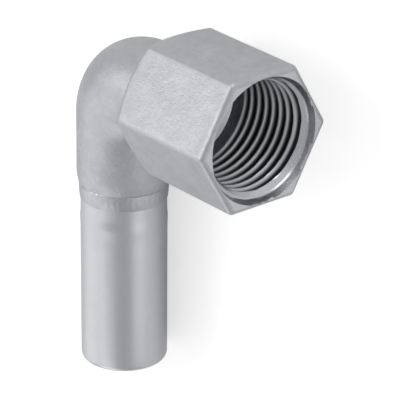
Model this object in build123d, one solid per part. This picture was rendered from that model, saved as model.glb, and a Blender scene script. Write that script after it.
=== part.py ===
from build123d import *
import os
from math import acos, asin, atan2, cos, hypot, radians, sin, tan

# Press-fit adapter elbow, 90 degrees: a cast body whose hexagonal socket has a
# half-inch parallel female pipe thread, butt welded to a plain 15 mm tube end.
#
# The sub-parts are drawn with the centre lines of tube and socket crossing at the
# origin, the tube running down -Z and the socket out along +X. Last of all they are
# laid down as the fitting comes to rest, on the rim of the tube, the side of the leg
# and a back corner of the socket, with the start of the thread at the origin.

# Driving dimensions, in mm
TUBE_DIAMETER = 15.0        # outside of the plain end, a standard press size
TUBE_WALL = 1.5
TUBE_REACH = 52.9           # socket centre line to the rim of the plain end
RIM_ROUNDING = 1.0          # outer edge of the plain end
BORE_EDGE_ROUNDING = 0.3    # inner edge of the plain end

THREAD_MINOR_DIAMETER = 18.63   # half-inch parallel pipe thread
SOCKET_REACH = 36.5         # tube centre line to the face of the socket
MOUTH_DIAMETER = 21.8       # at the face
LEAD_IN_DEPTH = 1.5         # steep first cone of the mouth
LEAD_IN_DIAMETER = 20.84    # at the foot of the first cone
SOCKET_FLOOR_X = 17.8       # where the threaded bore ends
FLOOR_CONE_DEPTH = 1.6      # from the bore down to the waterway

HEX_FLATS = 23.0
HEX_CORNER_ROUNDING = 1.0
HEX_FACE_ROUNDING = 0.9
HEX_BACK_X = 13.9
HEX_BACK_CONE_DIAMETER = 22.6   # of the flat back face inside the cone
HEX_BACK_CONE_ANGLE = 30.0      # off the back face
HEX_BACK_FILLET = 2.0           # into the round neck

ELBOW_DIAMETER = 16.2
BEND_OUTSIDE_RADIUS = 15.0
BEND_INSIDE_RADIUS = 1.6

TAPER_START_Z = 17.0        # depths below the socket's centre line
SEAM_TOP_Z = 19.35
SEAM_BOTTOM_Z = 22.2
SEAM_TOP_DIAMETER = 15.48   # the casting tapers down to this
SEAM_CROWN = 0.05           # swell of the bead over a straight side
SEAM_BOTTOM_DIAMETER = 15.2
SEAM_TOE = 0.15             # bevel at the bead's lower edge
NECK_DIAMETER = 14.9        # tube drawn in by the weld
NECK_END_Z = 24.1
SWELL_DIAMETER = 15.08
SWELL_Z = 26.1
SWELL_END_Z = 28.3

# Derived sizes
BORE_RADIUS = TUBE_DIAMETER / 2 - TUBE_WALL
ELBOW_RADIUS = ELBOW_DIAMETER / 2
OUTSIDE_SWING = BEND_OUTSIDE_RADIUS - ELBOW_RADIUS    # axis of the bend's outside wall
INSIDE_SWING = BEND_INSIDE_RADIUS + ELBOW_RADIUS      # axis of its inside wall
WATERWAY_SWING = (OUTSIDE_SWING + INSIDE_SWING) / 2
THREAD_RADIUS = THREAD_MINOR_DIAMETER / 2
LEAD_IN_X = SOCKET_REACH - LEAD_IN_DEPTH
THREAD_START_X = LEAD_IN_X - (LEAD_IN_DIAMETER / 2 - THREAD_RADIUS)   # 45 degree cone
HEX_CORNER_REACH = (HEX_FLATS / 2 - HEX_CORNER_ROUNDING) / cos(radians(30))


def resting_pitch():
    """Slope of the tube's centre line when the leg and the rim both touch the ground."""
    taper_length = SEAM_TOP_Z - TAPER_START_Z
    taper_drop = ELBOW_RADIUS - SEAM_TOP_DIAMETER / 2
    taper_arc = (taper_length ** 2 + taper_drop ** 2) / (2 * taper_drop)
    along = TUBE_REACH - RIM_ROUNDING - TAPER_START_Z
    across = (TUBE_DIAMETER / 2 - RIM_ROUNDING) - (ELBOW_RADIUS - taper_arc)
    return asin((taper_arc - RIM_ROUNDING) / hypot(along, across)) - atan2(across, along)


def resting_lean(pitch):
    """Lean of the fitting off the flat, until the socket's back corner touches too."""
    corner = HEX_CORNER_REACH + HEX_CORNER_ROUNDING
    back = HEX_BACK_X + (corner - HEX_BACK_CONE_DIAMETER / 2) * tan(radians(HEX_BACK_CONE_ANGLE))
    rim = (TUBE_REACH - RIM_ROUNDING) * tan(pitch) + RIM_ROUNDING / cos(pitch)
    height = rim + TUBE_DIAMETER / 2 - RIM_ROUNDING
    return acos(height / hypot(corner, back)) - atan2(back, corner)


def half_disc(plane, side):
    """Half of the elbow's round section, on the side of +X or -X of the given plane."""
    window = Pos(X=side * ELBOW_RADIUS) * Rectangle(ELBOW_DIAMETER, ELBOW_DIAMETER)
    return plane * (Circle(ELBOW_RADIUS) & window)


def bend():
    """Quarter turn whose outside and inside walls swing about an axis each.

    The two half-round walls stand apart on the diagonal, and a flat-sided web between
    their centre lines joins them. The outside half needs short straight runs at both
    ends, because its axis lies nearer to the corner than that of the inside half.
    """
    run = INSIDE_SWING - OUTSIDE_SWING
    inside_axis = Axis((INSIDE_SWING, 0, -INSIDE_SWING), (0, 1, 0))
    outside_axis = Axis((OUTSIDE_SWING, 0, -OUTSIDE_SWING), (0, 1, 0))
    inside = revolve(half_disc(Plane.XY.offset(-INSIDE_SWING), 1), inside_axis, 90)
    outside = revolve(half_disc(Plane.XY.offset(-OUTSIDE_SWING), -1), outside_axis, 90)
    leg_run = extrude(half_disc(Plane.XY.offset(-INSIDE_SWING), -1), run)
    upright = Plane((OUTSIDE_SWING, 0, 0), x_dir=(0, 0, -1), z_dir=(1, 0, 0))
    neck_run = extrude(half_disc(upright, -1), run)

    with BuildSketch(Plane.XZ) as between:
        with BuildLine():
            outer = CenterArc((OUTSIDE_SWING, -OUTSIDE_SWING), OUTSIDE_SWING, 90, 90)
            inner = CenterArc((INSIDE_SWING, -INSIDE_SWING), INSIDE_SWING, 90, 90)
            Line(outer @ 0, inner @ 0)
            Line(outer @ 1, inner @ 1)
        make_face()
    web = extrude(between.sketch, ELBOW_RADIUS, both=True)
    return outside + inside + web + leg_run + neck_run


def leg():
    """Round leg towards the tube, ending in a convex taper at the weld."""
    with BuildSketch(Plane.XZ) as profile:
        with BuildLine():
            top = Line((0, -INSIDE_SWING), (ELBOW_RADIUS, -INSIDE_SWING))
            side = Line(top @ 1, (ELBOW_RADIUS, -TAPER_START_Z))
            taper = TangentArc(side @ 1, (SEAM_TOP_DIAMETER / 2, -SEAM_TOP_Z), tangent=side % 1)
            end = Line(taper @ 1, (0, -SEAM_TOP_Z))
            Line(end @ 1, top @ 0)
        make_face()
    return revolve(profile.sketch, Axis.Z)


def neck():
    """Round neck from the bend to the back of the socket."""
    return extrude(Plane.YZ.offset(INSIDE_SWING) * Circle(ELBOW_RADIUS), HEX_BACK_X - INSIDE_SWING)


def hexagon():
    """Hexagonal socket block, coned at the back like a nut and rounded at the face."""
    outline = RegularPolygon(HEX_FLATS / 2, 6, major_radius=False)
    outline = fillet(outline.vertices(), HEX_CORNER_ROUNDING)
    block = extrude(Plane.YZ.offset(HEX_BACK_X) * outline, SOCKET_REACH - HEX_BACK_X)
    face = block.faces().sort_by(Axis.X)[-1]
    block = fillet(face.edges(), HEX_FACE_ROUNDING)

    inner = HEX_BACK_CONE_DIAMETER / 2
    outer = HEX_FLATS
    cone_end = HEX_BACK_X + (outer - inner) * tan(radians(HEX_BACK_CONE_ANGLE))
    turned = Plane.XY * Polygon(
        (HEX_BACK_X, 0), (HEX_BACK_X, inner), (cone_end, outer),
        (SOCKET_REACH, outer), (SOCKET_REACH, 0), align=None)
    return block & revolve(turned, Axis.X)


def socket_bore():
    """Everything turned out of the socket: mouth, lead-in, threaded bore and floor."""
    overrun = 1.0
    mouth = MOUTH_DIAMETER / 2
    lead_in = LEAD_IN_DIAMETER / 2
    beyond = mouth + overrun * (mouth - lead_in) / LEAD_IN_DEPTH
    profile = Plane.XY * Polygon(
        (SOCKET_REACH + overrun, 0), (SOCKET_REACH + overrun, beyond),
        (LEAD_IN_X, lead_in), (THREAD_START_X, THREAD_RADIUS),
        (SOCKET_FLOOR_X, THREAD_RADIUS),
        (SOCKET_FLOOR_X - FLOOR_CONE_DEPTH, BORE_RADIUS),
        (SOCKET_FLOOR_X - FLOOR_CONE_DEPTH, 0), align=None)
    return revolve(profile, Axis.X)


def waterway():
    """Round passage from the weld, round the bend and into the socket."""
    path = FilletPolyline(
        (0, 0, -SEAM_TOP_Z), (0, 0, 0), (SOCKET_FLOOR_X, 0, 0), radius=WATERWAY_SWING)
    return sweep(Plane.XY.offset(-SEAM_TOP_Z) * Circle(BORE_RADIUS), path)


def cast_body():
    """The one casting: leg, bend, neck and socket block, bored right through."""
    body = bend() + leg() + neck() + hexagon()
    junction = (body.edges().filter_by(GeomType.CIRCLE)
                .filter_by(lambda e: abs(e.radius - ELBOW_RADIUS) < 1e-3
                           and abs(e.arc_center.X - HEX_BACK_X) < 1e-3))
    body = fillet(junction, HEX_BACK_FILLET)
    return body - socket_bore() - waterway()


def weld_seam():
    """Crowned bead that joins the casting to the tube, fused to the bore."""
    top, bottom = SEAM_TOP_DIAMETER / 2, SEAM_BOTTOM_DIAMETER / 2
    toe_z = SEAM_BOTTOM_Z - SEAM_TOE
    with BuildSketch(Plane.XZ) as profile:
        with BuildLine():
            crown = ThreePointArc(
                (top, -SEAM_TOP_Z),
                ((top + bottom) / 2 + SEAM_CROWN, -(SEAM_TOP_Z + toe_z) / 2),
                (bottom, -toe_z))
            Polyline(crown @ 1, (NECK_DIAMETER / 2, -SEAM_BOTTOM_Z),
                     (BORE_RADIUS, -SEAM_BOTTOM_Z), (BORE_RADIUS, -SEAM_TOP_Z), crown @ 0)
        make_face()
    return revolve(profile.sketch, Axis.Z)


def blend(start, end):
    """S-curve between two points of a turned profile, in line with the axis at both."""
    middle = (start[1] + end[1]) / 2
    return Bezier(start, (start[0], middle), (end[0], middle), end)


def spigot_tube():
    """Plain tube end: drawn in at the weld, a faint swell, then the press length."""
    neck_r, swell_r, tube_r = NECK_DIAMETER / 2, SWELL_DIAMETER / 2, TUBE_DIAMETER / 2
    with BuildSketch(Plane.XZ) as profile:
        with BuildLine():
            start = Line((BORE_RADIUS, -SEAM_BOTTOM_Z), (neck_r, -SEAM_BOTTOM_Z))
            shoulder = Line(start @ 1, (neck_r, -NECK_END_Z))
            blend((neck_r, -NECK_END_Z), (swell_r, -SWELL_Z))
            blend((swell_r, -SWELL_Z), (tube_r, -SWELL_END_Z))
            Polyline((tube_r, -SWELL_END_Z), (tube_r, -TUBE_REACH),
                     (BORE_RADIUS, -TUBE_REACH), start @ 0)
        make_face()
        rim = profile.vertices().group_by(Axis.Y)[0].sort_by(Axis.X)
        fillet(rim[-1], RIM_ROUNDING)
        fillet(rim[0], BORE_EDGE_ROUNDING)
    return revolve(profile.sketch, Axis.Z)


def laid_down(shape):
    """Put the start of the thread at the origin and the fitting down as it rests."""
    pitch = resting_pitch()
    lean = resting_lean(pitch)
    up = Vector(sin(lean) * cos(pitch), -cos(lean) * cos(pitch), sin(pitch))
    ahead = Vector(1, 0, 0) - up * up.X
    resting = Plane((THREAD_START_X, 0, 0), x_dir=ahead.normalized(), z_dir=up)
    return resting.location.inverse() * shape


os.makedirs("parts", exist_ok=True)
for name, make in (("cast_body", cast_body), ("weld_seam", weld_seam), ("spigot_tube", spigot_tube)):
    export_step(laid_down(make()), f"parts/{name}.step")
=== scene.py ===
"""Right-angle press-fit adapter elbow, dressed as blasted casting, butt weld and drawn tube."""
from __future__ import annotations

import logging
import math
from abc import ABC, abstractmethod
from dataclasses import dataclass, field
from enum import Enum
from typing import ClassVar, Sequence

import bpy
import numpy as np
from mathutils import Matrix, Vector, noise

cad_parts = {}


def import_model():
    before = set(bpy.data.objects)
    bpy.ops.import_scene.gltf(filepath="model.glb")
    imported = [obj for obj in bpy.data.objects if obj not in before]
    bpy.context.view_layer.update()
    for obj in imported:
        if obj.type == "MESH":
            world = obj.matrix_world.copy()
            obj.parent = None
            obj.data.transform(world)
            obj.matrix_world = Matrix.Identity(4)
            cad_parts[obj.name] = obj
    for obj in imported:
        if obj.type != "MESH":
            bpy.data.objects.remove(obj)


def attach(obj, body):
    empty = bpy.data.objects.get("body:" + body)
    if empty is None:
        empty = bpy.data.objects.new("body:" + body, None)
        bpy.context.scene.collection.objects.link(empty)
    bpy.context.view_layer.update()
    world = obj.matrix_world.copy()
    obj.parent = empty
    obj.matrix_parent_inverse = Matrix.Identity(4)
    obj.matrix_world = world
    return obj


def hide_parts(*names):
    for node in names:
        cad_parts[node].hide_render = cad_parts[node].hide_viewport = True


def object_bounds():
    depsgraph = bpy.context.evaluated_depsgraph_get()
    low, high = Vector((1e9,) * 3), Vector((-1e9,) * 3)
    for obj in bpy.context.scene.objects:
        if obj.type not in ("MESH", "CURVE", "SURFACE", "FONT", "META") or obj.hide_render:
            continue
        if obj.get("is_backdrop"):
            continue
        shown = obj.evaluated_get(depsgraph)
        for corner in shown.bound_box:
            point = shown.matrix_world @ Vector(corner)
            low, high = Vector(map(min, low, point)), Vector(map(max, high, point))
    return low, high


MM = 0.001
Ring = np.ndarray
Profile = list[tuple[float, float]]
Place = tuple[float, float, float]


class Finish(Enum):
    """Finishes that the faces of a piece can take."""

    BLASTED = "blasted casting"
    TURNED = "turned steel"
    THREADED = "cut thread"
    WELDED = "weld bead"
    DRAWN = "drawn tube"


@dataclass(frozen=True)
class TubeSize:
    """Sizes of the plain tube end, in mm below the socket's centre line."""

    radius: float = 7.5
    bore: float = 6.0
    reach: float = 52.9
    rim: float = 1.0
    bore_edge: float = 0.3
    neck_radius: float = 7.45
    neck_end: float = 24.1
    swell_radius: float = 7.54
    swell: float = 26.1
    swell_end: float = 28.3


@dataclass(frozen=True)
class SeamSize:
    """Sizes of the weld bead, in mm."""

    top: float = 19.35
    bottom: float = 22.2
    top_radius: float = 7.74
    bottom_radius: float = 7.6
    crown: float = 0.05
    toe: float = 0.15
    ripples: int = 46
    ripple_depth: float = 0.03
    crease: float = 0.14
    crease_width: float = 0.16


@dataclass(frozen=True)
class ElbowSize:
    """Sizes of the round part of the casting, in mm."""

    radius: float = 8.1
    outside: float = 15.0
    inside: float = 1.6
    taper_start: float = 17.0

    @property
    def outside_swing(self) -> float:
        """Distance of the outside wall's turning axis from the centre lines."""
        return self.outside - self.radius

    @property
    def inside_swing(self) -> float:
        """Distance of the inside wall's turning axis from the centre lines."""
        return self.inside + self.radius


@dataclass(frozen=True)
class SocketSize:
    """Sizes of the hexagonal threaded socket, in mm from the tube's centre line."""

    face: float = 36.5
    flats: float = 23.0
    corner: float = 1.0
    face_rounding: float = 0.9
    back: float = 13.9
    back_cone_radius: float = 11.3
    back_fillet: float = 2.0
    mouth_radius: float = 10.9
    lead_in_radius: float = 10.42
    lead_in_depth: float = 1.5
    thread_radius: float = 9.315
    thread_depth: float = 1.162
    thread_pitch: float = 1.814
    thread_phase: float = 21.95
    thread_fade: tuple[float, float] = (19.4, 21.4)
    floor: float = 17.8
    floor_cone: float = 1.6

    @property
    def thread_start(self) -> float:
        """Distance to where the 45 degree cone meets the thread's crests."""
        return self.face - self.lead_in_depth - (self.lead_in_radius - self.thread_radius)

    @property
    def fillet_start(self) -> float:
        """Distance to where the fillet behind the hexagon leaves the neck."""
        return self.back - self.back_fillet

    @property
    def corner_reach(self) -> float:
        """Distance of a corner rounding's centre from the socket's centre line."""
        return (self.flats / 2 - self.corner) / math.cos(math.radians(30))


@dataclass(frozen=True)
class RestingPose:
    """Turns the upright drawing of the fitting into the way it lies on the floor."""

    tube: TubeSize
    seam: SeamSize
    elbow: ElbowSize
    socket: SocketSize

    def angles(self) -> tuple[float, float]:
        """Work out how the fitting lies on its rim, its leg and a back corner.

        Returns:
            The tube's slope and the socket's lean, in radians.
        """
        drop = self.elbow.radius - self.seam.top_radius
        length = self.seam.top - self.elbow.taper_start
        arc = (length ** 2 + drop ** 2) / (2 * drop)
        along = self.tube.reach - self.tube.rim - self.elbow.taper_start
        across = (self.tube.radius - self.tube.rim) - (self.elbow.radius - arc)
        pitch = math.asin((arc - self.tube.rim) / math.hypot(along, across)) - math.atan2(across, along)
        corner = self.socket.corner_reach + self.socket.corner
        back = self.socket.back + (corner - self.socket.back_cone_radius) * math.tan(math.radians(30))
        height = ((self.tube.reach - self.tube.rim) * math.tan(pitch)
                  + self.tube.rim / math.cos(pitch) + self.tube.radius - self.tube.rim)
        return pitch, math.acos(height / math.hypot(corner, back)) - math.atan2(back, corner)

    def turn(self) -> np.ndarray:
        """Work out the rotation from the drawing to the row frame.

        Returns:
            A 3 by 3 array whose first column is the thread's axis.
        """
        pitch, lean = self.angles()
        up = np.array([math.sin(lean) * math.cos(pitch), -math.cos(lean) * math.cos(pitch), math.sin(pitch)])
        ahead = np.array([1.0, 0.0, 0.0]) - up * up[0]
        ahead /= np.linalg.norm(ahead)
        return np.array([ahead, np.cross(up, ahead), up])

    def place(self, points: np.ndarray) -> np.ndarray:
        """Place points of the drawing.

        Args:
            points: Points in mm, one a row.

        Returns:
            The same points in the row frame, in metres.
        """
        return (points - np.array([self.socket.thread_start, 0.0, 0.0])) @ self.turn().T * MM


@dataclass
class Sock:
    """A shader socket that takes part in Python expressions."""

    sheet: "ShaderSheet"
    link: bpy.types.NodeSocket | bpy.types.Node

    def _maths(self, operation: str, *values: "Sock | float") -> "Sock":
        """Add a Math node with the given operation and operands."""
        return self.sheet.add("ShaderNodeMath", {"operation": operation}, dict(enumerate(values)))

    def __add__(self, other: "Sock | float") -> "Sock":
        """Return the sum."""
        return self._maths("ADD", self, other)

    __radd__ = __add__

    def __sub__(self, other: "Sock | float") -> "Sock":
        """Return the difference."""
        return self._maths("SUBTRACT", self, other)

    def __rsub__(self, other: float) -> "Sock":
        """Return the difference from a number."""
        return self._maths("SUBTRACT", other, self)

    def __mul__(self, other: "Sock | float") -> "Sock":
        """Return the product."""
        return self._maths("MULTIPLY", self, other)

    __rmul__ = __mul__


class ShaderSheet:
    """The node tree of one material, with one method that adds any node."""

    def __init__(self, name: str) -> None:
        """Start an empty material.

        Args:
            name: The material's name.
        """
        self.material = bpy.data.materials.new(name)
        self.material.use_nodes = True
        self.tree = self.material.node_tree
        self.tree.nodes.clear()

    def add(self, kind: str, settings: dict[str, object] | None = None,
            inputs: dict[object, object] | None = None, output: int | str = 0) -> Sock:
        """Add a node.

        Args:
            kind: The node's type.
            settings: Attributes set first; "stops" fills a ramp with (place, grey).
            inputs: Values or sockets by the input's name or number.
            output: Which output to return.

        Returns:
            The chosen output socket.
        """
        node = self.tree.nodes.new(kind)
        for key, value in (settings or {}).items():
            if key == "stops":
                ramp = node.color_ramp.elements
                for spot, (place, grey) in zip((ramp[0], ramp[1]), value):
                    spot.position = place
                    spot.color = (grey, grey, grey, 1.0)
            else:
                setattr(node, key, value)
        for key, value in (inputs or {}).items():
            if isinstance(value, Sock):
                self.tree.links.new(value.link, node.inputs[key])
            else:
                node.inputs[key].default_value = value
        return Sock(self, node.outputs[output] if len(node.outputs) else node)

    def place(self, stretch: tuple[float, float, float] = (1.0, 1.0, 1.0)) -> Sock:
        """Add the surface's own coordinates.

        Args:
            stretch: Factor along each axis.

        Returns:
            Object coordinates in mm, multiplied by the stretch.
        """
        where = self.add("ShaderNodeTexCoord", output="Object")
        scale = tuple(1000.0 * s for s in stretch)
        return self.add("ShaderNodeVectorMath", {"operation": "MULTIPLY"}, {0: where, 1: scale})

    def grain(self, where: Sock, size: float, detail: float = 4.0, rough: float = 0.6) -> Sock:
        """Return a noise value whose lumps are about that many mm across."""
        return self.add("ShaderNodeTexNoise", None, {
            "Vector": where, "Scale": 1.0 / size, "Detail": detail, "Roughness": rough})

    def finish(self, shader: Sock) -> bpy.types.Material:
        """Connect the shader to the output and return the material."""
        self.add("ShaderNodeOutputMaterial", None, {"Surface": shader})
        return self.material


@dataclass(frozen=True)
class SteelFinish:
    """Stainless steel whose tone, gloss and relief vary over the surface, sizes in mm."""

    name: str
    tone: float
    spread: float
    gloss: float
    gloss_spread: float
    fine_size: float
    fine_depth: float
    broad_size: float
    broad_depth: float
    stretch: tuple[float, float, float] = (1.0, 1.0, 1.0)
    tint: tuple[float, float, float] = (0.985, 1.0, 1.04)
    broad_share: float = 0.7
    stain_size: float = 3.5
    stain_tone: float = 0.35
    stain_gloss: float = 0.4

    def ground(self, sheet: ShaderSheet, pose: RestingPose) -> Sock | float:
        """Return the mean tone, here the same all over."""
        return self.tone

    def make(self, pose: RestingPose) -> bpy.types.Material:
        """Build the material.

        Args:
            pose: Where the drawing lies.

        Returns:
            A metal whose grain is procedural.
        """
        sheet = ShaderSheet(self.name)
        fine = sheet.grain(sheet.place(self.stretch), self.fine_size)
        broad = sheet.grain(sheet.place(), self.broad_size, 3.0)
        stain = sheet.grain(sheet.place(), self.broad_size * self.stain_size, 5.0, 0.65)
        wear = sheet.add("ShaderNodeValToRGB", {"stops": ((0.35, 0.0), (0.75, 1.0))}, {"Fac": stain})
        light = self.ground(sheet, pose) + (fine - 0.5) * self.spread
        light = light + (broad - 0.5) * (self.spread * self.broad_share)
        light = light - wear * (self.spread * self.stain_tone)
        colour = sheet.add("ShaderNodeCombineColor", None, {
            channel: light * share for channel, share in zip(("Red", "Green", "Blue"), self.tint)})
        gloss = self.gloss + (fine - 0.5) * self.gloss_spread
        gloss = gloss + wear * (self.gloss_spread * self.stain_gloss)
        relief = fine * self.fine_depth + broad * self.broad_depth
        bump = sheet.add("ShaderNodeBump", None, {"Strength": 1.0, "Distance": MM, "Height": relief})
        metal = sheet.add("ShaderNodeBsdfPrincipled", None, {
            "Base Color": colour, "Metallic": 1.0, "Roughness": gloss, "Normal": bump})
        return sheet.finish(metal)


@dataclass(frozen=True)
class ThreadFinish(SteelFinish):
    """Cut thread with painted shade: its steel colour darkens from the crests to the roots."""

    # painted shade: near-black colour put into the thread's roots
    painted_root_shade: float = 0.07
    crest_radius: float = 9.45
    root_radius: float = 10.05

    def ground(self, sheet: ShaderSheet, pose: RestingPose) -> Sock:
        """Work out the mean tone from the distance to the thread's axis, darkened towards the roots as
        painted shade.

        Args:
            sheet: The material's nodes.
            pose: Where the drawing lies, which gives the axis.

        Returns:
            The tone as a socket.
        """
        axis = tuple(pose.turn()[:, 0].tolist())
        across = sheet.add("ShaderNodeVectorMath", {"operation": "CROSS_PRODUCT"},
                           {0: sheet.place(), 1: axis})
        radius = sheet.add("ShaderNodeVectorMath", {"operation": "LENGTH"}, {0: across}, "Value")
        # painted shade: colour falls from the crest tone to the root tone with depth into the thread
        return sheet.add("ShaderNodeMapRange", {"interpolation_type": "SMOOTHSTEP"}, {
            0: radius, 1: self.crest_radius, 2: self.root_radius, 3: self.tone, 4: self.painted_root_shade})


FINISHES: dict[Finish, SteelFinish] = {
    Finish.BLASTED: SteelFinish(
        "blasted_casting", tone=0.62, spread=0.20, gloss=0.43, gloss_spread=0.14,
        fine_size=0.24, fine_depth=0.055, broad_size=1.6, broad_depth=0.07),
    Finish.TURNED: SteelFinish(
        "turned_steel", tone=0.74, spread=0.10, gloss=0.27, gloss_spread=0.10,
        fine_size=0.25, fine_depth=0.010, broad_size=1.1, broad_depth=0.01, stretch=(6.0, 1.0, 1.0)),
    # the cut thread's colour holds painted shade in its roots
    Finish.THREADED: ThreadFinish(
        "cut_thread_painted_root_shade", tone=0.72, spread=0.06, gloss=0.34, gloss_spread=0.10,
        fine_size=0.25, fine_depth=0.010, broad_size=1.1, broad_depth=0.01, stretch=(6.0, 1.0, 1.0)),
    Finish.WELDED: SteelFinish(
        "weld_bead", tone=0.60, spread=0.16, gloss=0.36, gloss_spread=0.14,
        fine_size=0.35, fine_depth=0.020, broad_size=1.0, broad_depth=0.04),
    Finish.DRAWN: SteelFinish(
        "drawn_tube", tone=0.69, spread=0.07, gloss=0.35, gloss_spread=0.06,
        fine_size=0.22, fine_depth=0.006, broad_size=3.2, broad_depth=0.02, stretch=(1.0, 0.12, 1.0)),
}


def spaced(start: float, end: float, steps: int) -> np.ndarray:
    """Return evenly spaced values with both ends."""
    return np.linspace(start, end, steps + 1)


def arc(centre: tuple[float, float], radius: float, start: float, end: float, steps: int) -> Profile:
    """Work out points of an arc in a profile.

    Args:
        centre: Station and radius of the arc's centre, in mm.
        radius: Radius in mm.
        start: First angle in degrees, from the station direction.
        end: Last angle in degrees.
        steps: Number of steps.

    Returns:
        Pairs of station and radius.
    """
    turns = np.radians(spaced(start, end, steps))
    return [(centre[0] + radius * math.cos(a), centre[1] + radius * math.sin(a)) for a in turns]


def blend(start: tuple[float, float], end: tuple[float, float], steps: int = 8) -> Profile:
    """Work out an S-curve of a profile that is level at both ends.

    Args:
        start: First station and radius, in mm.
        end: Last station and radius, in mm.
        steps: Number of steps.

    Returns:
        Pairs of station and radius.
    """
    return [(start[0] + (end[0] - start[0]) * s,
             start[1] + (end[1] - start[1]) * s * s * (3 - 2 * s)) for s in spaced(0.0, 1.0, steps)]


@dataclass
class Skin:
    """A mesh made of rings of equal count, joined one to the next."""

    rings: list[Ring] = field(default_factory=list)
    kinds: list[int] = field(default_factory=list)
    weld_distance: float = 2e-7

    def add(self, ring: Ring, kind: int = 0) -> None:
        """Add a ring and the material number of the band that follows it."""
        self.rings.append(ring)
        self.kinds.append(kind)

    def quads(self) -> np.ndarray:
        """Join each ring to the next, and the last to the first.

        Returns:
            The four corners of every face, one face a row.
        """
        rows, columns = len(self.rings), len(self.rings[0])
        row = np.repeat(np.arange(rows), columns)
        column = np.tile(np.arange(columns), rows)
        after, beside = (row + 1) % rows, (column + 1) % columns
        return np.stack([row * columns + column, row * columns + beside,
                         after * columns + beside, after * columns + column], 1)

    def welded(self, points: np.ndarray) -> tuple[np.ndarray, list[list[int]], list[int]]:
        """Merge points that coincide and drop the faces that vanish.

        Args:
            points: The rings' points, in metres.

        Returns:
            The points kept, the faces, and their material numbers.
        """
        _, first, where = np.unique(np.round(points / self.weld_distance).astype(np.int64), axis=0,
                                    return_index=True, return_inverse=True)
        corners = where.reshape(-1)[self.quads()]
        band = np.repeat(self.kinds, len(self.rings[0]))
        faces: list[list[int]] = []
        kinds: list[int] = []
        for quad, kind in zip(corners.tolist(), band.tolist()):
            loop = [c for i, c in enumerate(quad) if c != quad[i - 1]]
            if len(loop) > 2 and len(set(loop)) == len(loop):
                faces.append(loop)
                kinds.append(kind)
        return points[first], faces, kinds

    def build(self, name: str, pose: RestingPose, materials: Sequence[bpy.types.Material],
              sharp: float = 38.0) -> bpy.types.Object:
        """Make the mesh and put the piece in place.

        Args:
            name: Name of the piece.
            pose: Where the drawing lies.
            materials: Materials by number.
            sharp: Edges that turn by more than these degrees stay crisp.

        Returns:
            The new object, linked to the scene.
        """
        points, faces, kinds = self.welded(pose.place(np.concatenate(self.rings)))
        mesh = bpy.data.meshes.new(name)
        mesh.from_pydata(points.tolist(), [], faces)
        mesh.update()
        for material in materials:
            mesh.materials.append(material)
        mesh.polygons.foreach_set("material_index", kinds)
        mesh.polygons.foreach_set("use_smooth", [True] * len(faces))
        self.face_outwards(mesh)
        mesh.set_sharp_from_angle(angle=math.radians(sharp))
        piece = bpy.data.objects.new(name, mesh)
        bpy.context.scene.collection.objects.link(piece)
        return piece

    @staticmethod
    def face_outwards(mesh: bpy.types.Mesh) -> None:
        """Flip every face if the closed mesh encloses a negative volume.

        Args:
            mesh: The mesh to look at and flip.
        """
        mesh.calc_loop_triangles()
        spots = np.array([v.co for v in mesh.vertices])
        tris = np.array([t.vertices for t in mesh.loop_triangles])
        a, b, c = spots[tris[:, 0]], spots[tris[:, 1]], spots[tris[:, 2]]
        if np.einsum("ij,ij->i", a, np.cross(b, c)).sum() < 0:
            mesh.flip_normals()
        mesh.update()


@dataclass(frozen=True)
class Columns:
    """Directions round a ring: the outside half of the bend, then its inside half."""

    corner_steps: int = 3
    flat_steps: int = 26
    corner_angle: float = 2.2

    def angles(self) -> np.ndarray:
        """Work out the directions, closer together at the hexagon's corners.

        Returns:
            Angles in radians, with both ends of each half included.
        """
        near, far = self.corner_angle, 60.0 - self.corner_angle
        side = [*spaced(0.0, near, self.corner_steps)[:-1],
                *spaced(near, far, self.flat_steps)[:-1],
                *spaced(far, 60.0, self.corner_steps)[:-1]]
        half = [60.0 * k + a for k in range(3) for a in side] + [180.0]
        return np.radians(np.array(half + [180.0 + a for a in half]))

    def outside(self) -> np.ndarray:
        """Return which of the columns belong to the outside half."""
        count = len(self.angles())
        return np.arange(count) < count // 2


@dataclass(frozen=True)
class Steps:
    """How many rings follow each other along each stretch of the casting, or where they lie on it."""

    taper: int = 8
    leg: int = 12
    bend: int = 44
    neck: int = 4
    fillet: int = 8
    flats: int = 43
    rounding: int = 59
    rounding_rings: int = 7
    mouth_cone: tuple[float, ...] = (0.35, 0.7, 1.0)
    thread_turn: int = 20
    clear_length: tuple[float, ...] = (0.3125, 0.625, 1.0)
    floor_cone: tuple[float, ...] = (0.33, 0.67, 1.0)
    waterway_bend: int = 24
    waterway_run: int = 8
    waterway_leg: int = 7


@dataclass(frozen=True)
class CastSkin:
    """Slight unevenness of the cast skin: depths in mm, lumps per mm."""

    depth: float = 0.035
    flat_depth: float = 0.03
    flat_fade: float = 12.0
    coarse: float = 0.45
    fine: float = 1.3
    fine_share: float = 0.25

    def press(self, ring: Ring, centre: Ring | np.ndarray, depth: float) -> Ring:
        """Press a ring in a little, unevenly, towards its centre.

        Args:
            ring: The ring's points.
            centre: The points that each of them is pressed towards.
            depth: The greatest depth in mm.

        Returns:
            The ring pressed in.
        """
        inward = centre - ring
        inward /= np.maximum(np.linalg.norm(inward, axis=1), 1e-9)[:, None]
        press = np.array([0.5 + 0.5 * noise.noise(Vector(p) * self.coarse)
                          + self.fine_share * noise.noise(Vector(p) * self.fine) for p in ring])
        return ring + inward * (depth * np.clip(press, 0.0, 1.0))[:, None]


@dataclass(frozen=True)
class BrokenEdge:
    """Rings that ease the hexagon's back edge, as offsets in mm."""

    land_radius: float = 10.7
    land_margin: float = 0.2
    cone_lift: float = 0.02
    before: tuple[float, float] = (-0.12, -0.2)
    after: tuple[float, float] = (0.06, -0.05)
    flat_start: float = 0.3
    lip: float = 0.01


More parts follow.
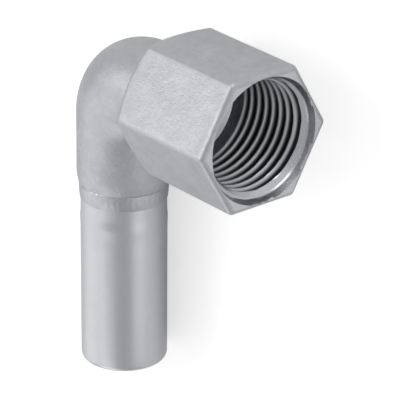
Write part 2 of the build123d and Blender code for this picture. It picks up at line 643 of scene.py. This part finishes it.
@dataclass
class CastBody:
    """The casting: round leg and bend, hexagonal socket, and its threaded bore."""

    elbow: ElbowSize
    socket: SocketSize
    seam: SeamSize
    tube: TubeSize
    columns: Columns = Columns()
    steps: Steps = Steps()
    cast_skin: CastSkin = CastSkin()
    edge: BrokenEdge = BrokenEdge()
    skin: Skin = field(default_factory=Skin)
    order: ClassVar[tuple[Finish, ...]] = (Finish.BLASTED, Finish.TURNED, Finish.THREADED)

    def ring_across(self, station: np.ndarray | float, radius: np.ndarray | float) -> Ring:
        """Make a ring round the socket's centre line.

        Args:
            station: Distance from the tube's centre line, one value or one a column.
            radius: Distance from the socket's centre line, likewise.

        Returns:
            The ring's points.
        """
        angle = self.columns.angles()
        station = np.broadcast_to(station, angle.shape)
        radius = np.broadcast_to(radius, angle.shape)
        return np.stack([station, radius * np.cos(angle), radius * np.sin(angle)], 1)

    def ring_down(self, depth: float, radius: float) -> Ring:
        """Return a ring round the tube's centre line, at a depth below the socket's."""
        angle = self.columns.angles()
        return np.stack([-radius * np.sin(angle), radius * np.cos(angle), np.full(angle.shape, -depth)], 1)

    def ring_bend(self, radius: float, outer: Place, inner: Place) -> Ring:
        """Make a ring in the bend.

        Args:
            radius: Radius of the section in mm.
            outer: Place of the outside half.
            inner: Place of the inside half.

        Returns:
            The ring's points.
        """
        angle, outside = self.columns.angles(), self.columns.outside()
        x, z, turned = (np.where(outside, a, b) for a, b in zip(outer, inner))
        away = radius * np.sin(angle)
        return np.stack([x - away * np.cos(turned), radius * np.cos(angle), z + away * np.sin(turned)], 1)

    def on_axis(self, x: float = 0.0, z: float = 0.0) -> Ring:
        """Return one point of the centre plane, repeated for every column."""
        return np.tile([x, 0.0, z], (len(self.columns.angles()), 1))

    @staticmethod
    def along_swing(swing: float, run: float, share: float) -> Place:
        """Find a place on a path of straight run, quarter arc and straight run.

        Args:
            swing: Radius of the arc.
            run: Length of each straight run.
            share: How far along, from 0 at the leg to 1 at the neck.

        Returns:
            x, z and the angle turned, in radians.
        """
        arc_length = swing * math.pi / 2
        gone = share * (arc_length + 2 * run)
        if gone <= run:
            return 0.0, -swing - run + gone, 0.0
        if gone >= run + arc_length:
            return swing + gone - run - arc_length, 0.0, math.pi / 2
        turned = (gone - run) / swing
        return swing - swing * math.cos(turned), -swing + swing * math.sin(turned), turned

    def hexagon(self, inset: float = 0.0) -> np.ndarray:
        """Work out the hexagon's outline with its rounded corners.

        Args:
            inset: How far the outline is moved in, in mm.

        Returns:
            Its radius at every column.
        """
        angle = np.degrees(self.columns.angles()) % 60.0
        off = np.radians(np.minimum(angle, 60.0 - angle))
        reach = self.socket.corner_reach
        corner = self.socket.corner - inset
        flat = (self.socket.flats / 2 - inset) / np.cos(np.radians(30) - off)
        rounded = reach * np.cos(off) + np.sqrt(np.maximum(corner ** 2 - (reach * np.sin(off)) ** 2, 0.0))
        tangent = math.atan2(corner * 0.5, reach + corner * math.cos(math.radians(30)))
        return np.where(off < tangent, rounded, flat)

    def mouth_wall(self, station: np.ndarray | float) -> np.ndarray | float:
        """Return the radius of the steep first cone of the mouth at a station."""
        slope = (self.socket.mouth_radius - self.socket.lead_in_radius) / self.socket.lead_in_depth
        return self.socket.lead_in_radius + (station - self.socket.face + self.socket.lead_in_depth) * slope

    def leg_rings(self) -> None:
        """Add the taper above the weld and the straight leg."""
        elbow, seam = self.elbow, self.seam
        drop, length = elbow.radius - seam.top_radius, seam.top - elbow.taper_start
        curve = (length ** 2 + drop ** 2) / (2 * drop)
        for step in spaced(1.0, 0.0, self.steps.taper):
            radius = elbow.radius - curve + math.sqrt(curve ** 2 - (length * step) ** 2)
            self.skin.add(self.ring_down(elbow.taper_start + length * step, radius))
        for depth in spaced(elbow.taper_start, elbow.inside_swing, self.steps.leg)[1:-1]:
            ring = self.ring_down(depth, elbow.radius)
            self.skin.add(self.cast_skin.press(ring, self.on_axis(z=-depth), self.cast_skin.depth))

    def bend_rings(self) -> None:
        """Add the bend, whose outside and inside halves swing about their own axes, and the neck."""
        elbow, depth = self.elbow, self.cast_skin.depth
        run = elbow.inside_swing - elbow.outside_swing
        for share in spaced(0.0, 1.0, self.steps.bend):
            outer = self.along_swing(elbow.outside_swing, run, share)
            inner = self.along_swing(elbow.inside_swing, 0.0, share)
            middle = self.on_axis((outer[0] + inner[0]) / 2, (outer[1] + inner[1]) / 2)
            self.skin.add(self.cast_skin.press(self.ring_bend(elbow.radius, outer, inner), middle, depth))
        for x in spaced(elbow.inside_swing, self.socket.fillet_start, self.steps.neck)[1:-1]:
            ring = self.ring_across(x, elbow.radius)
            self.skin.add(self.cast_skin.press(ring, self.on_axis(x), depth))

    def hexagon_rings(self) -> None:
        """Add the fillet and cone behind the hexagon, then its flats."""
        socket, edge, outline = self.socket, self.edge, self.hexagon()
        centre = (socket.fillet_start, self.elbow.radius + socket.back_fillet)
        for x, radius in arc(centre, socket.back_fillet, -90, 0, self.steps.fillet):
            self.skin.add(self.ring_across(x, radius))
        for radius in (edge.land_radius, socket.back_cone_radius - edge.land_margin):
            self.skin.add(self.ring_across(socket.back, radius))
        self.skin.add(self.ring_across(socket.back + edge.cone_lift, socket.back_cone_radius))
        rim = socket.back + (outline - socket.back_cone_radius) * math.tan(math.radians(30))
        for ahead, outward in (edge.before, edge.after):
            self.skin.add(self.ring_across(rim + ahead, outline + outward))
        start, end = rim + edge.flat_start, socket.face - socket.face_rounding
        for share in spaced(0.0, 1.0, self.steps.flats):
            ring = self.ring_across(start + (end - start) * share, outline)
            depth = self.cast_skin.flat_depth * min(1.0, self.cast_skin.flat_fade * min(share, 1 - share))
            self.skin.add(self.cast_skin.press(ring, ring * [1, 0, 0], depth))

    def face_rings(self) -> None:
        """Add the rounded front edge, the strip of face left and the mouth's first cone."""
        socket, turned = self.socket, self.order.index(Finish.TURNED)
        rounding, base = socket.face_rounding, socket.face - socket.face_rounding
        swing = spaced(0.0, math.pi / 2, self.steps.rounding)
        radii = np.array([self.hexagon(rounding * (1 - math.cos(s))) for s in swing])
        stations = base + rounding * np.sin(swing)
        clear = radii > np.array([self.mouth_wall(x) for x in stations])[:, None]
        last = np.where(clear.all(0), len(swing) - 1, np.argmin(clear, 0) - 1)
        columns = np.arange(radii.shape[1])
        for share in spaced(0.0, 1.0, self.steps.rounding_rings)[1:]:
            pick = np.round(last * share).astype(int)
            kind = turned if share == 1.0 else 0
            self.skin.add(self.ring_across(stations[pick], radii[pick, columns]), kind)
        lip = stations[last]
        self.skin.add(self.ring_across(lip - self.edge.lip, self.mouth_wall(lip)), turned)
        for share in self.steps.mouth_cone:
            x = lip + (socket.face - socket.lead_in_depth - lip) * share
            self.skin.add(self.ring_across(x, self.mouth_wall(x)), turned)

    def thread_radius(self, station: float) -> np.ndarray:
        """Work out the wall of the threaded bore: a rounded helix that fades out at the floor.

        Args:
            station: Distance from the tube's centre line.

        Returns:
            Its radius at every column.
        """
        socket = self.socket
        phase = (station - socket.thread_phase) / socket.thread_pitch - self.columns.angles() / (2 * math.pi)
        off = 2 * np.abs(phase - np.round(phase))
        low, high = socket.thread_fade
        fade = min(max((station - low) / (high - low), 0.0), 1.0)
        depth = socket.thread_depth * off * off * (3 - 2 * off) * fade * fade * (3 - 2 * fade)
        cone = socket.thread_radius + max(station - socket.thread_start, 0.0)
        return np.minimum(np.maximum(socket.thread_radius + depth, cone), socket.lead_in_radius)

    def thread_rings(self) -> None:
        """Add the mouth's second cone, the thread and the clear length behind it."""
        socket = self.socket
        turned, threaded = self.order.index(Finish.TURNED), self.order.index(Finish.THREADED)
        start, end = socket.face - socket.lead_in_depth, socket.thread_fade[0]
        count = int((start - end) / socket.thread_pitch * self.steps.thread_turn)
        for station in spaced(start, end, count - 1)[1:]:
            kind = threaded if station < socket.thread_start else turned
            self.skin.add(self.ring_across(station, self.thread_radius(station)), kind)
        for share in self.steps.clear_length:
            self.skin.add(self.ring_across(end + (socket.floor - end) * share, socket.thread_radius), turned)

    def waterway_rings(self) -> None:
        """Add the socket's floor cone and the waterway back to the weld."""
        socket, bore, steps = self.socket, self.tube.bore, self.steps
        for share in steps.floor_cone:
            radius = socket.thread_radius + (bore - socket.thread_radius) * share
            self.skin.add(self.ring_across(socket.floor - socket.floor_cone * share, radius))
        swing = (self.elbow.outside_swing + self.elbow.inside_swing) / 2
        for x in spaced(socket.floor - socket.floor_cone, swing, steps.waterway_run)[1:-1]:
            self.skin.add(self.ring_across(x, bore))
        for share in spaced(1.0, 0.0, steps.waterway_bend):
            place = self.along_swing(swing, 0.0, share)
            self.skin.add(self.ring_bend(bore, place, place))
        for depth in spaced(swing, self.seam.top, steps.waterway_leg)[1:]:
            self.skin.add(self.ring_down(depth, bore))

    def build(self, pose: RestingPose, finishes: dict[Finish, bpy.types.Material]) -> bpy.types.Object:
        """Build and dress the casting.

        Args:
            pose: Where the drawing lies.
            finishes: Materials by finish.

        Returns:
            The piece that stands for the cast body.
        """
        for rings in (self.leg_rings, self.bend_rings, self.hexagon_rings,
                      self.face_rings, self.thread_rings, self.waterway_rings):
            rings()
        piece = self.skin.build("elbow_casting", pose, [finishes[kind] for kind in self.order])
        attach(piece, "root")
        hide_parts("cast_body")
        return piece


@dataclass
class TurnedPiece(ABC):
    """A piece turned about the tube's centre line."""

    tube: TubeSize
    seam: SeamSize
    columns: int = 224
    name: ClassVar[str]
    node: ClassVar[str]
    slot: ClassVar[str]
    finish: ClassVar[Finish]

    @abstractmethod
    def profile(self) -> Profile:
        """Return the closed outline as pairs of depth and radius."""

    def relief(self, depth: float, angle: np.ndarray) -> np.ndarray:
        """Return how far the skin stands out round a depth, here nowhere."""
        return np.zeros(angle.shape)

    def build(self, pose: RestingPose, finishes: dict[Finish, bpy.types.Material]) -> bpy.types.Object:
        """Build and dress the piece.

        Args:
            pose: Where the drawing lies.
            finishes: Materials by finish.

        Returns:
            The piece that stands for its node.
        """
        angle = spaced(0.0, 2 * math.pi, self.columns)[:-1]
        skin = Skin()
        for depth, radius in self.profile():
            wall = radius + self.relief(depth, angle)
            skin.add(np.stack([wall * np.cos(angle), wall * np.sin(angle), np.full(angle.shape, -depth)], 1))
        piece = skin.build(self.name, pose, [finishes[self.finish]])
        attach(piece, "root")
        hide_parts(self.node)
        return piece


@dataclass
class TubeEnd(TurnedPiece):
    """Plain tube end, from the weld to the rounded rim and back up the bore."""

    neck_run: float = 0.9
    wall_steps: int = 13
    rim_steps: int = 10
    edge_steps: int = 5
    bore_steps: int = 7
    name = "plain_tube_end"
    node = "spigot_tube"
    slot = "tube_steel"
    finish = Finish.DRAWN

    def profile(self) -> Profile:
        """Draw the neck, the slight swell, the wall, the rim and the bore.

        Returns:
            The closed outline as pairs of depth and radius.
        """
        tube, seam = self.tube, self.seam
        rim, edge = tube.reach - tube.rim, tube.reach - tube.bore_edge
        swell = (tube.swell, tube.swell_radius)
        return [
            (seam.bottom, tube.bore), (seam.bottom, tube.neck_radius),
            (tube.neck_end - self.neck_run, tube.neck_radius),
            *blend((tube.neck_end, tube.neck_radius), swell),
            *blend(swell, (tube.swell_end, tube.radius))[1:],
            *((depth, tube.radius) for depth in spaced(tube.swell_end, rim, self.wall_steps)[1:-1]),
            *arc((rim, tube.radius - tube.rim), tube.rim, 90, 0, self.rim_steps),
            *arc((edge, tube.bore + tube.bore_edge), tube.bore_edge, 0, -90, self.edge_steps),
            *((depth, tube.bore) for depth in spaced(edge, seam.bottom, self.bore_steps)[1:-1]),
        ]


@dataclass
class WeldBead(TurnedPiece):
    """Weld bead with the fine ripples that a turning weld leaves."""

    crown_steps: int = 12
    bow: float = 2.6
    name = "weld_bead"
    node = "weld_seam"
    slot = "weld"
    finish = Finish.WELDED

    @property
    def toe(self) -> float:
        """Depth where the bead's crown ends."""
        return self.seam.bottom - self.seam.toe

    def profile(self) -> Profile:
        """Draw the crease under the casting, the crown and the toe.

        Returns:
            The closed outline as pairs of depth and radius.
        """
        seam, tube = self.seam, self.tube
        crown = [(seam.top + (self.toe - seam.top) * share,
                  seam.top_radius + (seam.bottom_radius - seam.top_radius) * share
                  + seam.crown * 4 * share * (1 - share))
                 for share in spaced(0.0, 1.0, self.crown_steps)]
        return [(seam.top, tube.bore), (seam.top, seam.top_radius - seam.crease),
                (seam.top + seam.crease_width, seam.top_radius), *crown[1:],
                (seam.bottom, tube.neck_radius), (seam.bottom, tube.bore)]

    def relief(self, depth: float, angle: np.ndarray) -> np.ndarray:
        """Press the ripples into the crown.

        Args:
            depth: Depth below the socket's centre line.
            angle: Directions round the bead.

        Returns:
            How far the skin stands out, here zero or less.
        """
        middle, length = (self.seam.top + self.toe) / 2, self.toe - self.seam.top
        inside = max(0.0, 1 - (2 * (depth - middle) / length) ** 2)
        wave = 0.5 + 0.5 * np.sin(self.seam.ripples * angle + self.bow * inside)
        return -self.seam.ripple_depth * inside * wave


@dataclass(frozen=True)
class Lamp:
    """A soft square lamp aimed at the fitting."""

    name: str
    side: float
    height: float
    power: float
    distance: float = 0.6
    size: float = 0.34

    def build(self, target: Vector) -> bpy.types.Object:
        """Hang the lamp.

        Args:
            target: What it lights.

        Returns:
            The lamp's object.
        """
        turn, rise = math.radians(self.side), math.radians(self.height)
        away = Vector((math.sin(turn) * math.cos(rise), -math.cos(turn) * math.cos(rise), math.sin(rise)))
        data = bpy.data.lights.new(self.name, "AREA")
        data.size = self.size
        data.energy = self.power
        lamp = bpy.data.objects.new(self.name, data)
        lamp.location = target + away * self.distance
        lamp.rotation_euler = away.to_track_quat("Z", "Y").to_euler()
        bpy.context.scene.collection.objects.link(lamp)
        return lamp


@dataclass(frozen=True)
class Viewpoint:
    """The photograph's camera, fitted to the drawing of the upright fitting."""

    turn: float = 50.203
    rise: float = 24.471
    roll: float = 0.469
    pixels_per_mm: float = 5.929
    distance: float = 531.8
    offset: tuple[float, float] = (12.894, -21.21)
    frame_pixels: float = 400.0
    film: float = 36.0
    clip: tuple[float, float] = (0.01, 50.0)

    def build(self, pose: RestingPose) -> bpy.types.Object:
        """Create the camera.

        Args:
            pose: Where the drawing lies.

        Returns:
            The camera's object.
        """
        turn, rise, roll = (math.radians(a) for a in (self.turn, self.rise, self.roll))
        back = np.array([math.sin(turn) * math.cos(rise), -math.cos(turn) * math.cos(rise), math.sin(rise)])
        right = np.array([math.cos(turn), math.sin(turn), 0.0])
        up = np.cross(back, right)
        axes = np.array([math.cos(roll) * right + math.sin(roll) * up,
                         -math.sin(roll) * right + math.cos(roll) * up, back])
        eye = pose.place((axes.T @ np.array([*self.offset, self.distance]))[None])[0]
        axes = axes @ pose.turn().T
        data = bpy.data.cameras.new("studio_camera")
        data.sensor_width = self.film
        data.lens = self.pixels_per_mm * self.distance / self.frame_pixels * self.film
        data.clip_start, data.clip_end = self.clip
        camera = bpy.data.objects.new("studio_camera", data)
        place = Matrix([list(column) for column in axes.T.tolist()]).to_4x4()
        place.translation = Vector(eye.tolist())
        camera.matrix_world = place
        bpy.context.scene.collection.objects.link(camera)
        bpy.context.scene.camera = camera
        return camera


@dataclass
class Studio:
    """Pale floor, soft light and the photograph's camera."""

    lamps: tuple[Lamp, ...] = (
        Lamp("left_back_softbox", -110.0, 45.0, 0.70),
        Lamp("left_low_softbox", -60.0, 15.0, 0.21),
        Lamp("left_softbox", -60.0, 45.0, 0.18),
        Lamp("front_low_softbox", -15.0, 15.0, 0.28),
        Lamp("right_low_softbox", 75.0, 15.0, 0.24),
        Lamp("back_low_softbox", 170.0, 15.0, 0.80),
        Lamp("back_left_softbox", 215.0, 45.0, 0.31),
        Lamp("back_right_softbox", 120.0, 15.0, 0.09),
        Lamp("front_softbox", -15.0, 45.0, 0.23),
        Lamp("left_back_low_softbox", -110.0, 15.0, 0.02),
    )
    ambient: float = 0.42
    floor_glow: float = 0.5
    floor_tone: float = 0.86
    floor_half: float = 2.5

    def floor(self, height: float) -> bpy.types.Object:
        """Lay a white floor that keeps the fitting's shadow.

        Args:
            height: Height of the floor in metres.

        Returns:
            The floor's object.
        """
        mesh = bpy.data.meshes.new("studio_floor")
        corners = [(x * self.floor_half, y * self.floor_half, height)
                   for x, y in ((-1, -1), (1, -1), (1, 1), (-1, 1))]
        mesh.from_pydata(corners, [], [(0, 1, 2, 3)])
        sheet = ShaderSheet("white_floor")
        path = sheet.add("ShaderNodeLightPath", output="Is Camera Ray")
        paper = sheet.add("ShaderNodeBsdfDiffuse", None, {"Color": (*[self.floor_tone] * 3, 1.0)})
        glow = sheet.add("ShaderNodeEmission", None, {"Color": (1.0,) * 4, "Strength": self.floor_glow})
        lit = sheet.add("ShaderNodeAddShader", None, {0: paper, 1: glow})
        both = sheet.add("ShaderNodeMixShader", None, {0: path, 1: paper, 2: lit})
        mesh.materials.append(sheet.finish(both))
        floor = bpy.data.objects.new("studio_floor", mesh)
        bpy.context.scene.collection.objects.link(floor)
        floor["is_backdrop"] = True
        return floor

    def build(self, pose: RestingPose, low: Sequence[float], high: Sequence[float]) -> None:
        """Set up world, floor, lamps and camera.

        Args:
            pose: Where the drawing lies.
            low: The object's lowest corner.
            high: The object's highest corner.
        """
        world = bpy.data.worlds.new("soft_room")
        world.use_nodes = True
        sky = world.node_tree.nodes["Background"]
        sky.inputs["Color"].default_value = (1.0, 1.0, 1.0, 1.0)
        sky.inputs["Strength"].default_value = self.ambient
        bpy.context.scene.world = world
        target = Vector([(a + b) / 2 for a, b in zip(low, high)])
        for lamp in self.lamps:
            lamp.build(target)
        self.floor(low[2])
        Viewpoint().build(pose)
        bpy.context.scene.view_settings.view_transform = "Standard"


def main() -> None:
    """Build the studio and the three pieces."""
    logging.basicConfig(level=logging.INFO, format="%(message)s")
    log = logging.getLogger("fitting")
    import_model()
    solid_box = [list(map(float, corner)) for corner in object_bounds()]
    tube, seam, elbow, socket = TubeSize(), SeamSize(), ElbowSize(), SocketSize()
    pose = RestingPose(tube, seam, elbow, socket)
    finishes = {kind: finish.make(pose) for kind, finish in FINISHES.items()}
    for maker in (CastBody(elbow, socket, seam, tube), WeldBead(tube, seam), TubeEnd(tube, seam)):
        piece = maker.build(pose, finishes)
        log.info("%s: %d faces", piece.name, len(piece.data.polygons))
    Studio().build(pose, *solid_box)


if __name__ == "__main__":
    main()
